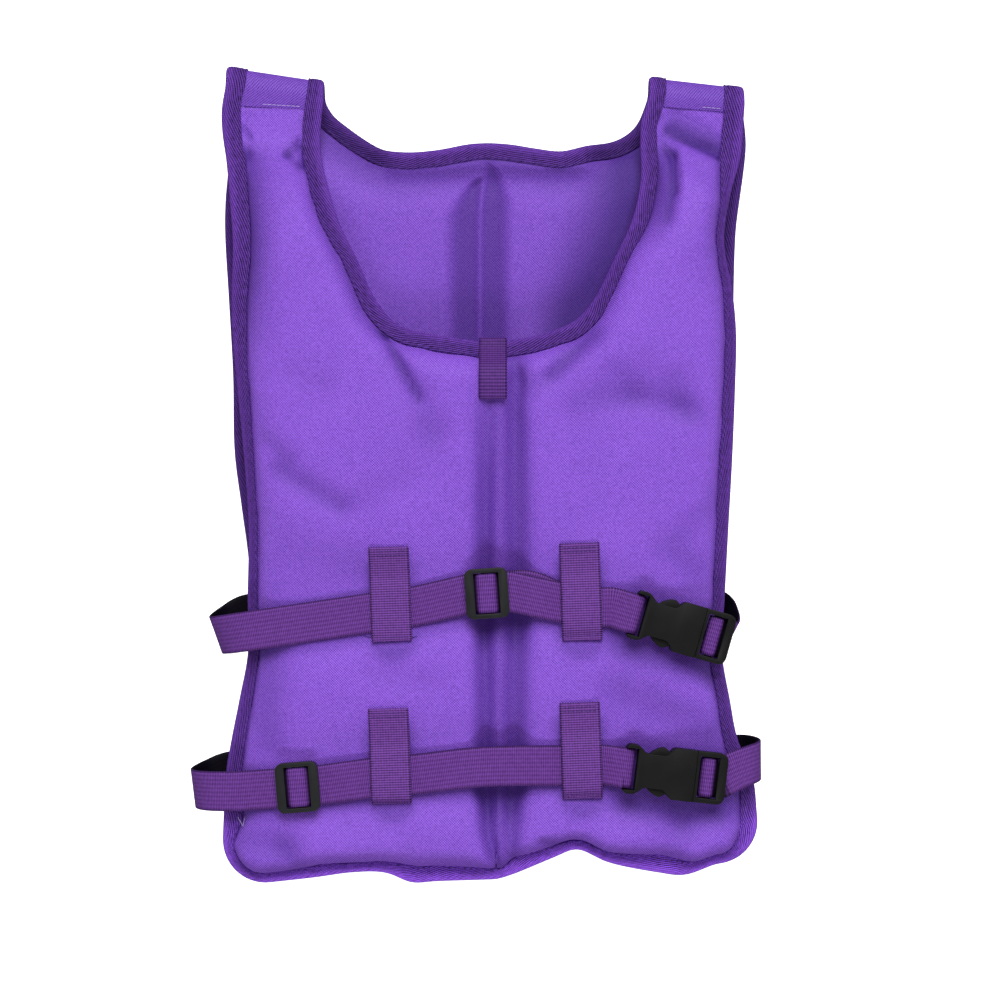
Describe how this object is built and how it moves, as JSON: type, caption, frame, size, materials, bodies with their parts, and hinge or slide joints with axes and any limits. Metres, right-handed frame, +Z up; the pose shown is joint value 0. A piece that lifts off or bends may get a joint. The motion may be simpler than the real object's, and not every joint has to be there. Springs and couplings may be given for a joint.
{
  "type": "buoyancy vest",
  "caption": "Foam-filled pull-on buoyancy vest with a scoop neck, open sides, taped edges and webbing belts closed by side-release buckles.",
  "frame": {"origin": "middle of the vest's footprint, on the surface that it lies on", "axes": "+Y from the hem to the shoulders, +Z up out of the chest, +X to the viewer's right as the front is seen"},
  "size_m": [0.3654, 0.5182, 0.066],
  "materials": {
    "cloth": "coated plain-weave cloth, satin",
    "tape": "ribbed twill tape, matt",
    "webbing": "woven webbing, satin",
    "hardware": "moulded black plastic, satin"
  },
  "bodies": {
    "root": {"front_panel": "cloth", "back_panel": "cloth", "neck_binding": "tape", "edge_binding": "tape", "neck_tab": "webbing", "upper_left_loop": "webbing", "upper_right_loop": "webbing", "lower_left_loop": "webbing", "lower_right_loop": "webbing", "upper_strap": "webbing", "lower_strap": "webbing", "upper_slider": "hardware", "lower_slider": "hardware", "upper_buckle_socket": "hardware", "lower_buckle_socket": "hardware", "upper_buckle_plug": "hardware", "lower_buckle_plug": "hardware"}
  },
  "joints": []
}
